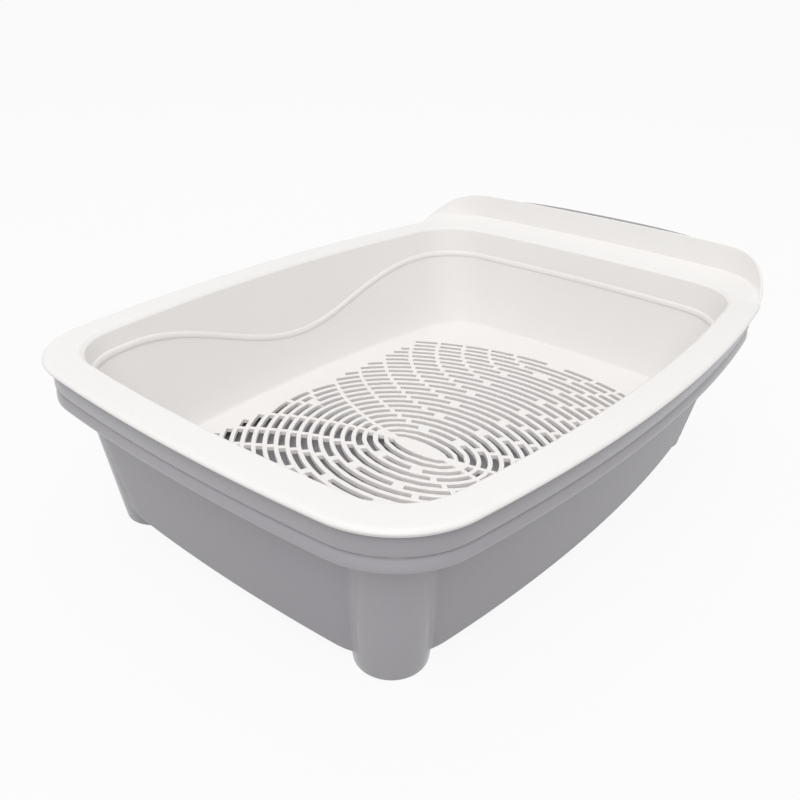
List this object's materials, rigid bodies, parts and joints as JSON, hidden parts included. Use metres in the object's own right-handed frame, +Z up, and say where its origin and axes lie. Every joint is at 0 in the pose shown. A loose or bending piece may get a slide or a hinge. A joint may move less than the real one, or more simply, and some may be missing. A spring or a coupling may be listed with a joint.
{
  "type": "sifting litter tray",
  "caption": "Nested cat litter pans with hollow corner legs and a lift-out tray whose slotted floor sifts the litter; raised lip at the back end.",
  "frame": {"origin": "on the ground, under the middle of the bounding box of the nested stack", "axes": "+X across the width, +Y along the length towards the raised lip, +Z up"},
  "size_m": [0.38, 0.5004, 0.159],
  "materials": {
    "grey_pan": "satin injection-moulded polypropylene, cool grey",
    "white_tray": "satin injection-moulded polypropylene, warm white"
  },
  "bodies": {
    "base_pan": {"base_pan": "grey_pan"},
    "middle_pan": {"middle_pan": "grey_pan"},
    "sifting_tray": {"sifting_tray": "white_tray"}
  },
  "joints": [
    {"name": "middle_pan_lift", "type": "slide", "parent": "base_pan", "child": "middle_pan", "axis": [0, 0, 1], "range_m": [0, 0.15]},
    {"name": "sifting_tray_lift", "type": "slide", "parent": "middle_pan", "child": "sifting_tray", "axis": [0, 0, 1], "range_m": [0, 0.14]}
  ]
}
